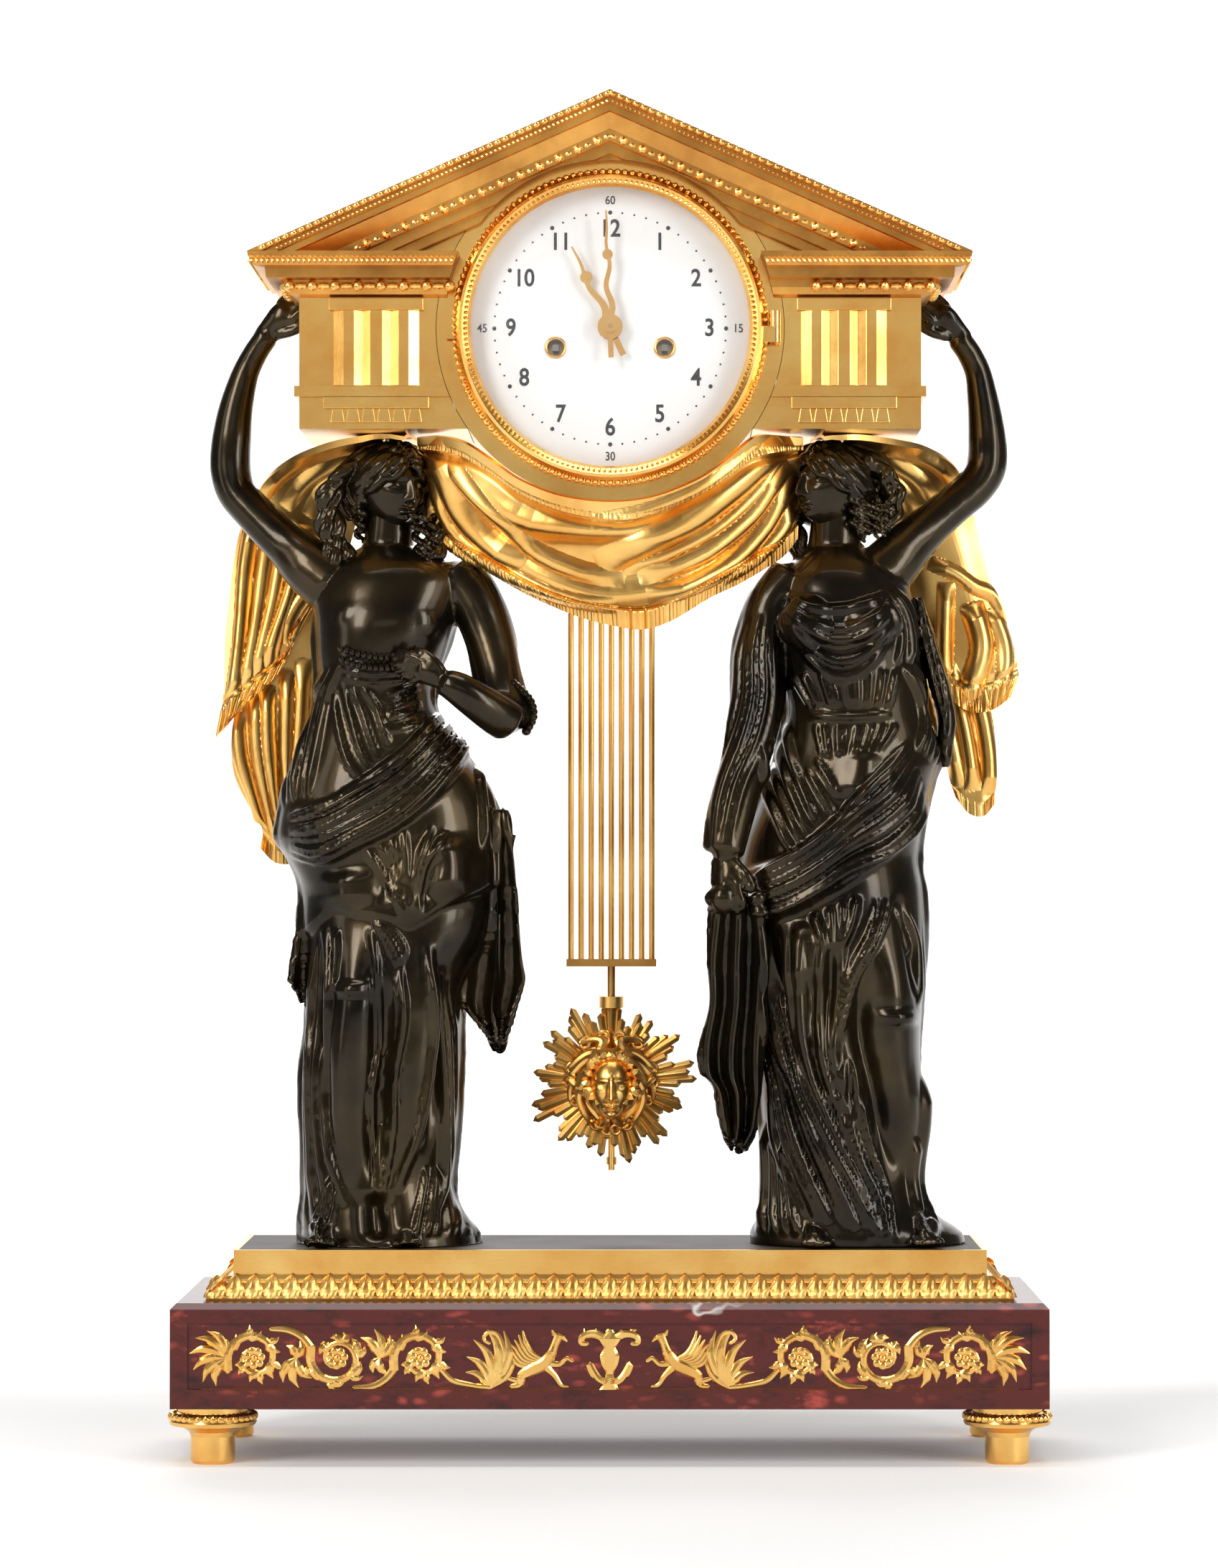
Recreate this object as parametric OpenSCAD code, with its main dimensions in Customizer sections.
// Portico mantel clock: two draped figures carry a temple-front clock case over a marble base.
// X runs to the right, Y to the back, Z up. The origin is on the floor under the middle. Millimetres.

/* [Base] */
// Width of the marble base
base_w = 450; // [430:1:480]
// Depth of the marble base
base_d = 160; // [150:1:180]
// Height of the marble base
base_h = 54; // [48:1:64]
// Bevel round the top edge of the marble
base_bevel = 3; // [1:0.5:5]
// Width of the sunk panel on the front
panel_w = 432; // [400:1:436]
// Height of the sunk panel
panel_h = 34; // [28:1:38]
// Depth of the sunk panel
panel_sink = 1.5; // [1:0.1:3]
// Height of a foot
foot_h = 30; // [24:1:36]
// Radius of a foot's beaded ring
foot_ring_r = 23; // [20:0.5:26]
// Radius of the spigot that holds a foot in the marble
foot_spigot_r = 3; // [2.5:0.1:4]

/* [Plinth] */
// Width of the gilt plinth at its foot
plinth_w = 416; // [400:1:424]
// Depth of the gilt plinth at its foot
plinth_d = 126; // [120:1:136]
// Height of the leaf moulding
leaf_h = 12; // [10:0.5:15]
// Height of the plain step
step_h = 13; // [10:0.5:16]
// Inset of the plain step from the foot of the moulding
step_inset = 13; // [11:0.5:15]
// Thickness of the dark top plate
terrace_t = 2; // [1.5:0.1:3]

/* [Case] */
// Width of the case block
case_w = 322; // [316:1:330]
// Depth of the case block
case_d = 100; // [96:1:104]
// Height of the case block
case_h = 68; // [64:1:74]
// Wall of the case block
case_wall = 3; // [2:0.5:5]
// Height from the plinth's top to the foot of the case
figure_h = 425; // [424:0.5:428]
// How far the cornice stands out
cornice_out = 25; // [22:0.5:27]
// Height of the level cornice
cornice_h = 21; // [20:0.5:24]
// Slope of the roof
roof_angle = 24; // [22:0.5:26]
// Depth of the sloping moulding, square to the slope
rake_t = 33; // [28:0.5:36]
// Thickness of the roof plates
roof_t = 4; // [2:0.5:6]

/* [Dial and drum] */
// Height of the dial centre above the foot of the case
dial_rise = 52; // [48:0.5:56]
// How far the drum stands out round the bezel
drum_rim = 8.5; // [7:0.5:10]
// Wall of the drum
drum_wall = 3; // [2:0.5:4]
// Outer radius of the bezel
bezel_r = 81.5; // [80:0.5:83]
// Width of the bezel's ring
bezel_ring = 8; // [6:0.5:10]
// How far the enamel's edge lies inside the bezel's outer edge
dial_inset = 5; // [4.5:0.5:6]
// Radius of a winding hole
wind_hole_r = 4.4; // [4:0.1:5]
// Length of the minute hand
minute_len = 60; // [45:1:62]
// Length of the hour hand
hour_len = 46; // [28:1:48]
// Angle of the minute hand from twelve
minute_at = -2; // [-5:1:5]
// Angle of the hour hand from twelve
hour_at = -25.5; // [-30:0.5:-20]

/* [Movement] */
// Radius of the movement plates
plate_r = 57; // [56:0.5:62]
// Thickness of the movement plates
plate_t = 2; // [1.5:0.1:3]
// Gap between the movement plates
plate_gap = 36; // [36:0.5:38]
// Radius of a barrel
barrel_r = 18; // [16:0.5:19]
// Thickness of a wheel
wheel_t = 1.6; // [1:0.1:2]
// Radius of an arbor
arbor_r = 1.2; // [0.8:0.1:1.5]
// Running clearance of a shaft in its hole
run_gap = 0.05; // [0.02:0.01:0.09]

/* [Pendulum] */
// Number of rods in the gridiron
rod_count = 9; // [5:2:11]
// Spacing of the rods
rod_pitch = 5.4; // [5:0.1:6]
// Radius of a rod
rod_r = 1.2; // [0.8:0.1:1.6]
// Length of the gridiron
grid_len = 228; // [200:1:232]
// Drop from the gridiron to the middle of the mask
mask_drop = 66; // [62:1:70]
// Radius of the mask's rays
ray_r = 48; // [40:1:50]

/* [Hidden] */

fine = 64;
gap = 0.3;
base_top = foot_h + base_h;
plinth_top = base_top + leaf_h + step_h;
case_z = plinth_top + figure_h;
cornice_z = case_z + case_h;
eave_z = cornice_z + cornice_h;
dial_z = case_z + dial_rise;
front_y = -case_d / 2;
back_y = case_d / 2;
cornice_w = case_w + 2 * cornice_out;
figure_x = 121;
drum_back = 57;
flange_t = 3;
drum_r = bezel_r + drum_rim;
dial_r = bezel_r - dial_inset;
drum_gap_r = drum_r + gap;
head_cap = 4;

// Feet

foot_r = 11.5;
foot_x = base_w / 2 - foot_ring_r + 3;
foot_y = base_d / 2 - foot_ring_r;
spigot_len = 12;

module foot(side_x, side_y) {
    color("goldenrod") translate([side_x * foot_x, side_y * foot_y, 0]) rotate_extrude($fn = fine)
        polygon([[0, 0], [foot_r - 1, 0], [foot_r, 1.5], [foot_r, foot_h - 16], [foot_r + 1, foot_h - 13.5],
            [foot_r + 4, foot_h - 11.5], [foot_ring_r - 4, foot_h - 10.6], [foot_ring_r - 1, foot_h - 10],
            [foot_ring_r, foot_h - 8], [foot_ring_r - 1, foot_h - 6], [foot_ring_r - 3.5, foot_h - 5],
            [foot_ring_r - 5, foot_h - 3.5], [foot_ring_r - 5, foot_h], [foot_spigot_r, foot_h],
            [foot_spigot_r, foot_h + spigot_len], [0, foot_h + spigot_len]]);
}

// Marble base, plinth and fastenings

bolt_r = 2.5;
bolt_gap_r = bolt_r + gap;
bolt_dx = 22;
nut_r = 4.6;
nut_h = 4;
nut_pocket = 8;
nut_pocket_r = 7;
bolt_into_figure = 14;
crown_drop = 12;
crown_x = figure_x - 4;
crown_y = 6;

module mitred(w, d, outline) {
    intersection() {
        rotate([90, 0, 0]) linear_extrude(d, center = true)
            polygon(concat([for (p = outline) [w / 2 - p[0], p[1]]],
                [for (i = [len(outline) - 1:-1:0]) [-w / 2 + outline[i][0], outline[i][1]]]));
        rotate([90, 0, 90]) linear_extrude(w, center = true)
            polygon(concat([for (p = outline) [d / 2 - p[0], p[1]]],
                [for (i = [len(outline) - 1:-1:0]) [-d / 2 + outline[i][0], outline[i][1]]]));
    }
}

module at_bolts() {
    for (side = [-1, 1], dx = [-bolt_dx, bolt_dx])
        translate([side * figure_x + dx, 0, 0]) children();
}

module marble_base() {
    color("#5a2019") translate([0, 0, foot_h]) difference() {
        mitred(base_w, base_d, [[0, 0], [0, base_h - base_bevel], [base_bevel, base_h]]);
        translate([-panel_w / 2, -base_d / 2 - 1, (base_h - panel_h) / 2])
            cube([panel_w, panel_sink + 1, panel_h]);
        for (sx = [-1, 1], sy = [-1, 1]) translate([sx * foot_x, sy * foot_y, -1])
            cylinder(r = foot_spigot_r + run_gap, h = spigot_len + 1.5, $fn = fine);
        at_bolts() translate([0, 0, -1]) {
            cylinder(r = bolt_gap_r, h = base_h + 2, $fn = fine);
            cylinder(r = nut_pocket_r, h = nut_pocket + 1, $fn = fine);
        }
    }
}

// The moulding's outline: how far in from the foot of the plinth, and how high
leaf_outline = [[0, 0], [0, 2], [1, 2.6], [1.6, 4], [3.4, 6.2], [6.4, 8], [8.4, 9], [9.4, 10.4],
    [9.6, leaf_h], [step_inset, leaf_h], [step_inset, leaf_h + step_h]];
terrace_rim = 2.5;
terrace_w = plinth_w - 2 * (step_inset + terrace_rim);
terrace_d = plinth_d - 2 * (step_inset + terrace_rim);

module plinth() {
    color("goldenrod") translate([0, 0, base_top]) difference() {
        mitred(plinth_w, plinth_d, leaf_outline);
        translate([0, 0, leaf_h + step_h])
            cube([terrace_w + 2 * run_gap, terrace_d + 2 * run_gap, 2 * terrace_t], center = true);
        at_bolts() translate([0, 0, -1])
            cylinder(r = bolt_gap_r, h = leaf_h + step_h + 2, $fn = fine);
    }
}

module terrace_plate() {
    color("#1d1511") difference() {
        translate([-terrace_w / 2, -terrace_d / 2, plinth_top - terrace_t])
            cube([terrace_w, terrace_d, terrace_t]);
        at_bolts() translate([0, 0, plinth_top - terrace_t - 1])
            cylinder(r = bolt_gap_r, h = terrace_t + 2, $fn = fine);
    }
}

module fixing_bolts() {
    color("silver") {
        at_bolts() translate([0, 0, foot_h + nut_pocket - nut_h]) {
            cylinder(r = nut_r, h = nut_h, $fn = 6);
            cylinder(r = bolt_r, h = plinth_top + bolt_into_figure - foot_h - nut_pocket + nut_h, $fn = fine);
        }
        for (side = [-1, 1]) translate([side * crown_x, crown_y, case_z + case_wall]) {
            cylinder(r = nut_r, h = nut_h, $fn = 6);
            translate([0, 0, -case_wall - head_cap - crown_drop])
                cylinder(r = bolt_r, h = case_wall + head_cap + crown_drop + 1, $fn = fine);
        }
    }
}

// Applied frieze: leafy scrolls that run out from a vase, a winged beast on each side of it

scroll_r = panel_h / 2 - 2.5;

function spiral(r0, r1, from, to, n) =
    [for (i = [0:n]) let (a = from + (to - from) * i / n) (r0 + (r1 - r0) * i / n) * [cos(a), sin(a)]];

module ribbon(pts, w0, w1) {
    n = len(pts) - 1;
    normals = [for (i = [0:n])
        let (d = pts[min(i + 1, n)] - pts[max(i - 1, 0)]) [-d[1], d[0]] / norm(d)];
    polygon(concat([for (i = [0:n]) pts[i] + normals[i] * (w0 + (w1 - w0) * i / n) / 2],
        [for (i = [n:-1:0]) pts[i] - normals[i] * (w0 + (w1 - w0) * i / n) / 2]));
}

module leaf(len, w, turn) {
    rotate(turn) polygon([[0, -w / 6], [len * 0.4, -w / 2], [len * 0.8, -w / 4], [len, 0], [len * 0.7, w / 3],
        [len * 0.35, w / 2], [0, w / 6]]);
}

module scroll(up) {
    scale([1, up ? 1 : -1]) {
        ribbon(spiral(scroll_r, 3, 200, -340, 26), 3, 1.6);
        for (a = [0:60:300]) rotate(a) translate([3.6, 0]) circle(r = 2.2, $fn = 14);
        circle(r = 3.6, $fn = 16);
        for (a = [40:72:330]) rotate(a) translate([scroll_r + 0.4, 0]) leaf(8, 4, 150);
    }
}

module winged_beast() {
    polygon([[0, -13], [10, -13], [9, -10], [12, -6], [15, 3], [18, 9], [23, 13], [13, 12.5], [6, 9], [1, 1],
        [-3, -2], [-6, 5], [-9, 9], [-12, 6], [-9, 3], [-8, -4], [-6, -10], [-9, -13]]);
}

module vase() {
    polygon([[-3, -13], [3, -13], [1.4, -9], [4.5, -4], [3, 0], [7, 4], [5.5, 5], [9, 10], [4, 13], [0, 10],
        [-4, 13], [-9, 10], [-5.5, 5], [-7, 4], [-3, 0], [-4.5, -4], [-1.4, -9]]);
    for (s = [-1, 1]) scale([s, 1]) translate([8, -7])
        ribbon(spiral(6.2, 1.4, 180, -200, 14), 1.8, 1.2);
}

first_scroll = 70;
scroll_pitch = 41.4;
frieze_t = 1.4;

module frieze_half() {
    translate([34, -2]) winged_beast();
    for (i = [0:3]) translate([first_scroll + i * scroll_pitch, 0]) scroll(i % 2 == 0);
    for (i = [0:2]) translate([first_scroll + (i + 0.5) * scroll_pitch, 0]) scale([1, i % 2 == 0 ? 1 : -1])
        ribbon([[-14, -12.5], [-7, -10], [-3, -4], [3, 4], [7, 10], [14, 12.5]], 3, 3);
}

module frieze_mount() {
    color("gold") translate([0, -base_d / 2 + panel_sink, foot_h + base_h / 2]) rotate([90, 0, 0])
        linear_extrude(frieze_t) offset(delta = 0.15) {
            frieze_half();
            scale([-1, 1]) frieze_half();
            translate([0, -2]) vase();
            translate([0, -panel_h / 2 + 1.8]) square([panel_w - 12, 1.6], center = true);
        }
}

// Lofted and swept solids

function ease(t) = t * t * (3 - 2 * t);

// A value between the rows of a list of stations, each row led by its height
function station(rows, z, i = 0) =
    let (part = (z - rows[i][0]) / (rows[i + 1][0] - rows[i][0]))
    i >= len(rows) - 2 || z <= rows[i + 1][0]
        ? rows[i] + (rows[i + 1] - rows[i]) * ease(min(1, max(0, part)))
        : station(rows, z, i + 1);

module loft(rings) {
    n = len(rings[0]);
    k = len(rings);
    polyhedron([for (r = rings) each r], concat(
        [[for (i = [0:n - 1]) i]],
        [for (j = [0:k - 2], i = [0:n - 1]) let (a = j * n + i, b = j * n + (i + 1) % n)
            each [[a, a + n, b], [b, a + n, b + n]]],
        [[for (i = [n - 1:-1:0]) (k - 1) * n + i]]));
}

limb_sides = 9;

module limb(points) {
    for (i = [0:len(points) - 2]) hull() {
        translate(points[i][0]) sphere(r = points[i][1], $fn = limb_sides);
        translate(points[i + 1][0]) sphere(r = points[i + 1][1], $fn = limb_sides);
    }
}

// Figures. Each row of a body is its height over the plinth, the middle of the section in X and Y from the
// figure's axis, its half width, its half depth, and how deep the folds of the cloth are cut

fold_count = 9;
ring_sides = 36;
ring_step = 22;
neck_r = 13.5;
head_r = 25;

function folds(a, z, depth, lean) =
    1 + depth * (sin(fold_count * a + lean * z) + 0.5 * sin(2.3 * fold_count * a - lean * z * 0.7));

function body_ring(rows, z, lean) = let (s = station(rows, z)) [for (i = [0:ring_sides - 1])
    let (a = i * 360 / ring_sides, f = folds(a, z, s[5], lean))
    [s[1] + s[3] * f * cos(a), s[2] + s[4] * f * sin(a), z]];

module body(side, rows, lean) {
    top = rows[len(rows) - 1][0];
    steps = ceil(top / ring_step);
    translate([side * figure_x, 0, plinth_top])
        loft([for (i = [0:steps]) body_ring(rows, top * i / steps, lean)]);
}

left_rows = [[0, 4, -2, 47, 42, 0.03], [22, 0, -2, 40, 38, 0.06], [70, 0, -2, 41, 36, 0.06],
    [125, 2, -4, 42, 36, 0.05], [150, 10, -4, 52, 38, 0.05], [195, 12, 0, 53, 38, 0.04],
    [240, 3, 0, 57, 36, 0.03], [275, -2, 0, 50, 32, 0.02], [300, 3, -2, 46, 32, 0.03],
    [330, 5, -3, 49, 34, 0.02], [347, 4, 0, 48, 27, 0.01], [362, 1, 2, 27, 18, 0]];

right_rows = [[0, 1, -2, 50, 42, 0.03], [22, 1, -2, 42, 38, 0.06], [70, 1, -2, 41, 36, 0.06],
    [125, -3, -4, 45, 37, 0.05], [160, -9, -2, 52, 38, 0.05], [215, -11, 0, 53, 37, 0.04],
    [250, -5, 0, 53, 35, 0.03], [280, 0, 0, 46, 32, 0.02], [305, 0, -2, 46, 33, 0.02],
    [330, 0, -3, 49, 34, 0.02], [347, 0, 0, 48, 27, 0.01], [362, -1, 2, 27, 18, 0]];

shoe_l = 26;

module shoe(at) {
    translate([at[0], at[1], plinth_top]) intersection() {
        hull() {
            translate([0, -shoe_l, 5]) sphere(r = 7, $fn = 14);
            translate([0, 0, 9]) sphere(r = 11, $fn = 14);
        }
        translate([-20, -50, gap]) cube([40, 80, 40]);
    }
}

module head(at, turn) {
    translate(at) rotate(turn) {
        hull() {
            translate([0, 4, 4]) sphere(r = head_r, $fn = 16);
            translate([0, -9, -20]) sphere(r = 12, $fn = 10);
        }
        hull() {
            translate([0, -22, -2]) sphere(r = 2.4, $fn = 10);
            translate([0, -26.5, -10]) sphere(r = 3, $fn = 10);
        }
        hull() {
            translate([0, -18, -22]) sphere(r = 6, $fn = 10);
            translate([0, -14, -25]) sphere(r = 7, $fn = 10);
        }
        for (i = [0:5]) hull() {
            translate([-24 + 48 * i / 5, -16 + 9 * pow(abs(i - 2.5) / 2.5, 2), 12 - abs(i - 2.5) * 5])
                sphere(r = 7, $fn = 8);
            translate([-20 + 40 * i / 5, 12, 16]) sphere(r = 9, $fn = 8);
        }
        hull() {
            translate([0, 22, -2]) sphere(r = 13, $fn = 10);
            translate([0, 14, -16]) sphere(r = 13, $fn = 10);
        }
    }
}

module hanging_fold(from, to, w0, w1) {
    hull() {
        translate(from) sphere(r = w0, $fn = 7);
        translate(to) sphere(r = w1, $fn = 7);
    }
}

head_top = case_z - head_cap;
head_z = head_top - 31;

module figure(side, rows, lean, head_at, turn, shoes) {
    neck_foot = rows[len(rows) - 1];
    difference() {
        union() {
            body(side, rows, lean);
            translate([side * figure_x, 0, 0]) {
                limb([[[neck_foot[1], 0, plinth_top + neck_foot[0] - 12], neck_r + 4],
                    [head_at + [0, 4, -14], neck_r]]);
                head(head_at, turn);
                for (s = shoes) shoe(s);
                translate([0, 0, plinth_top]) children();
            }
        }
        at_bolts() translate([0, 0, base_top])
            cylinder(r = bolt_gap_r, h = leaf_h + step_h + bolt_into_figure + 2, $fn = 24);
        for (side = [-1, 1]) translate([side * crown_x, crown_y, head_top - crown_drop - 1])
            cylinder(r = bolt_gap_r, h = 60, $fn = 24);
        translate([-300, -100, plinth_top - 40]) cube([600, 200, 40 + gap / 3]);
        translate([-300, -100, head_top]) cube([600, 200, 60]);
    }
}

module figure_left() {
    color("#1d1511") figure(-1, left_rows, 0.12, [6, -4, head_z], 32, [[-24, -34], [16, -36]]) {
        for (i = [0:3])
            hanging_fold([51 - i * 5, -16 + i * 5, 190 - 6 * i],
                [64 - i * 6, -14 + i * 4, 118 + 7 * i], 11, 4);
        for (i = [0:2]) hanging_fold([-39 + i * 5, -14, 190], [-44 + i * 7, -16, 138 + 5 * i], 9, 5);
        for (sx = [-1, 1]) hanging_fold([9 + sx * 15, -30, 322], [9 + sx * 14, -22, 334], 15, 15);
        for (i = [0:4])
            hanging_fold([43 - i * 3, -28 - i, 285 - i * 7], [-45 + i * 2, -16 - i, 222 - i * 9], 8, 7);
    }
}

module figure_right() {
    color("#1d1511") figure(1, right_rows, -0.12, [-3, -4, head_z], -62, [[-15, -34], [31, -30]]) {
        for (i = [0:4])
            hanging_fold([-57 + i * 5, -16 + i * 4, 190 - 12 * i],
                [-53 + i * 6, -14 + i * 3, 48 + 20 * i], 11, 3.5);
        for (sx = [-1, 1]) hanging_fold([-4 + sx * 15, -30, 320], [-4 + sx * 14, -22, 332], 15, 15);
        for (i = [0:4])
            hanging_fold([39 - i * 2, -22 - i, 262 - i * 7], [-49 + i * 2, -26 - i, 196 - i * 9], 8, 7);
    }
}

finger_r = 3;

// A hand seen from its palm: four fingers and a thumb from a palm that ends at the given point
module hand(at, along, across, curl) {
    limb([[at, 7.5], [at + along * 12, 8.5]]);
    for (i = [0:3]) let (beside = across * (i - 1.5) * 5.6)
        limb([[at + along * 14 + beside * 0.93, finger_r + 0.6], [at + along * 25 + beside + curl * 3, finger_r],
            [at + along * 33 + beside + curl * 9, finger_r - 0.6]]);
    limb([[at + across * 8 + along * 3, 4], [at + across * 14 + along * 14 + curl * 2, 3.4]]);
}

arm_gap = 1;
shoulder_inset = 7;

// A raised arm. Its points lie out from the side of the case and up from the foot of the case
module raised_arm(side, points, rows, lean) {
    color("#1d1511") difference() {
        translate([side * case_w / 2, 0, case_z]) scale([side, 1, 1]) {
            limb(points);
            hand(points[len(points) - 1][0] + [-1, -2, 2], [-0.45, -0.6, 0.66],
                [-0.3, 0.9, 0], [-0.5, 0, 0.2]);
        }
        body_space(side, rows, lean);
        translate([side > 0 ? case_w / 2 - shoulder_inset - 300 : -case_w / 2 + shoulder_inset, -200, 0])
            cube([300, 400, 800]);
        case_space();
    }
}

module raised_arm_left() {
    raised_arm(-1, [[[-3, 8, -66], 14], [[39, 14, -26], 13], [[51, 14, -20], 11.5], [[47, 14, -4], 12],
        [[28, 8, 50], 7]], left_rows, 0.12);
}

module raised_arm_right() {
    raised_arm(1, [[[-3, 8, -66], 14], [[35, 14, -26], 13], [[45, 14, -20], 11.5], [[41, 14, -4], 12],
        [[22, 6, 54], 7]], right_rows, -0.12);
}

// The space of a body with the arm's clearance round it
module body_space(side, rows, lean) {
    body(side, [for (r = rows) r + [0, 0, 0, arm_gap, arm_gap, 0]], lean);
}

module case_space() {
    translate([-case_w / 2 - gap, -case_d / 2 - gap, case_z - gap])
        cube([case_w + 2 * gap, case_d + 2 * gap, case_h]);
    translate([-cornice_w / 2 - gap, -100, cornice_z - gap]) cube([cornice_w + 2 * gap, 200, 100]);
}

module bent_arm() {
    color("#1d1511") difference() {
        translate([-figure_x, 0, plinth_top]) {
            limb([[[51, -14, 319], 13.5], [[67, -26, 277], 12], [[63, -36, 273], 11], [[29, -54, 293], 7.5]]);
            hand([27, -55, 294], [-0.8, -0.2, 0.55], [0.5, -0.1, 0.8], [-0.2, 0.8, 0]);
        }
        body_space(-1, left_rows, 0.12);
    }
}

module hanging_arm() {
    color("#1d1511") difference() {
        translate([figure_x, 0, plinth_top]) {
            limb([[[-47, -10, 327], 14], [[-63, -18, 275], 11.5], [[-65, -24, 265], 11],
                [[-70, -42, 199], 7.5]]);
            hand([-71, -44, 195], [0.1, -0.1, -0.98], [0.35, 0.9, 0], [0.3, 0, 0]);
        }
        body_space(1, right_rows, -0.12);
    }
}

// Gilt cloth: it lies over both heads, hangs between them and falls in a tail behind each figure

cloth_t = head_cap - 2 * gap;
swag_half = 96;
swag_top = case_z - 1.5;
swag_y = -16;
swag_sides = 22;
fringe_tufts = 12;

function swag_upper(t) = swag_top - 2 - 36 * (1 - t * t);
function swag_lower(t) = swag_top - 20 - 69 * (1 - pow(abs(t), 2.6));

function swag_ring(t) =
    let (hi = swag_upper(t), lo = swag_lower(t), n = swag_sides / 2, deep = 6 + 8 * (1 - t * t)) concat(
        [for (i = [0:n - 1]) let (u = i / (n - 1), ripple = 2.4 * sin(900 * u + 60 * t) * (1 - 0.6 * abs(t)))
            [-t * swag_half, swag_y - 4 - deep * sin(180 * u) - ripple, hi + (lo - hi) * u]],
        [for (i = [n - 1:-1:0]) let (u = i / (n - 1))
            [-t * swag_half, swag_y + 1 + 0.3 * deep * sin(180 * u), hi + (lo - hi) * u]]);

function hem_point(t) = [t * swag_half, swag_y - 1, swag_lower(t) + 1];

fringe_len = 9;
veil_w = 58;
veil_d = 60;

// One tuft of the fringe, from one point of the hem to the next
module tuft(from, to) {
    r = norm(to - from) / 2;
    hull() {
        translate((from + to) / 2) sphere(r = r, $fn = 6);
        translate((from + to) / 2 - [0, 0, fringe_len]) sphere(r = r, $fn = 6);
    }
}

// The cloth over one head, with its front edge turned down
module veil() {
    translate([-veil_w / 2, -veil_d / 2 + 4, 0]) cube([veil_w, veil_d - 4, cloth_t]);
    hull() {
        for (x = [-veil_w / 2, veil_w / 2 - 8]) translate([x, -veil_d / 2 + 3, 2]) sphere(r = 2, $fn = 10);
        for (x = [-veil_w / 2 + 4, veil_w / 2 - 12])
            translate([x, -veil_d / 2 - 1, -7]) sphere(r = 3, $fn = 10);
    }
}

module swag() {
    color("gold") difference() {
        union() {
            loft([for (j = [0:14]) swag_ring(1 - j / 7)]);
            for (j = [0:fringe_tufts - 1]) let (t = -1 + 2 * j / fringe_tufts)
                tuft(hem_point(t), hem_point(t + 2 / fringe_tufts));
            for (side = [-1, 1])
                translate([side * crown_x, crown_y - 8, case_z - gap - cloth_t]) scale([side, 1, 1]) veil();
        }
        for (side = [-1, 1]) {
            translate([side * crown_x, crown_y, case_z - 20]) cylinder(r = bolt_gap_r, h = 60, $fn = 24);
            translate([side * crown_x, -4, head_z]) scale([1, 1, 1.14]) sphere(r = head_r + 6, $fn = 20);
        }
        translate([-case_w / 2, -case_d, case_z - gap]) cube([case_w, 2 * case_d, 60]);
        drum_space(drum_r + 1);
    }
}

tail_sides = 22;

function tail_point(side, x, w, y, z, lean, u, out) =
    [side * (x - w / 2 + w * u), y + out - 3 * sin(720 * u + lean) + 5 * u * u, z];

function tail_ring(side, x, w, y, z, lean) = let (n = tail_sides / 2) concat(
    [for (i = [0:n - 1]) tail_point(side, x, w, y, z, lean, i / (n - 1), -2)],
    [for (i = [n - 1:-1:0]) tail_point(side, x, w, y, z, lean, i / (n - 1), 2)]);

// The tail's rows: height over its lower tip, the middle from the clock's axis, and the width
tail_rows = [[0, 172, 24], [70, 180, 40], [110, 184, 52], [160, 178, 44], [205, 172, 26]];
tail_y = 46;
tail_steps = 12;

module drape_tail(side, stretch) {
    top = tail_rows[len(tail_rows) - 1][0];
    tip_z = case_z - gap - top * stretch - 0.4;
    rings = [for (j = [0:tail_steps]) let (s = station(tail_rows, top * j / tail_steps))
        tail_ring(side, s[1], s[2], tail_y - 4 * sin(180 * j / tail_steps), tip_z + s[0] * stretch, 14 * j)];
    color("gold") loft(side > 0 ? rings : [for (r = rings) [for (i = [len(r) - 1:-1:0]) r[i]]]);
}

// Case

module drum_space(r) {
    translate([0, 0, dial_z]) rotate([90, 0, 0]) cylinder(r = r, h = 400, center = true, $fn = fine);
}

band_h = 5.5;
band_out = 2.5;
band_rise = 16.5;

module case_wing(side) {
    color("goldenrod") scale([side, 1, 1]) difference() {
        union() {
            translate([0, front_y, case_z]) cube([case_w / 2, case_d, case_h]);
            translate([0, front_y - band_out, case_z + band_rise])
                cube([case_w / 2 + band_out, case_d / 2 + band_out, band_h]);
        }
        drum_space(drum_gap_r);
        difference() {
            translate([0, front_y + case_wall, case_z + case_wall])
                cube([case_w / 2 - case_wall, case_d - 2 * case_wall, case_h - 2 * case_wall]);
            drum_space(drum_gap_r + case_wall);
        }
        translate([crown_x, crown_y, case_z - 1])
            cylinder(r = bolt_gap_r, h = case_wall + 2, $fn = fine);
    }
}

glyph_w = 44.5;
glyph_t = 3;
glyph_h = case_h - band_rise - band_h - 7;

module triglyph(side) {
    color("goldenrod") translate([side * figure_x, front_y, case_z + band_rise + band_h]) {
        difference() {
            translate([-glyph_w / 2, -glyph_t, 0.2]) cube([glyph_w, glyph_t, glyph_h]);
            for (i = [-1:1]) translate([i * glyph_w / 3, -glyph_t, -1]) rotate(45)
                cube([2.6, 2.6, 2 * (glyph_h - 3)], center = true);
            for (i = [-0.5, 0.5]) translate([i * glyph_w / 3, -glyph_t, 0]) rotate(45)
                cube([3.4, 3.4, 2 * (glyph_h - 4)], center = true);
        }
        translate([-glyph_w / 2 - 2, -glyph_t - 1, glyph_h + 0.2]) cube([glyph_w + 4, glyph_t + 1, 6]);
    }
}

gutta_h = 7;
regula_h = 6;

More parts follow.
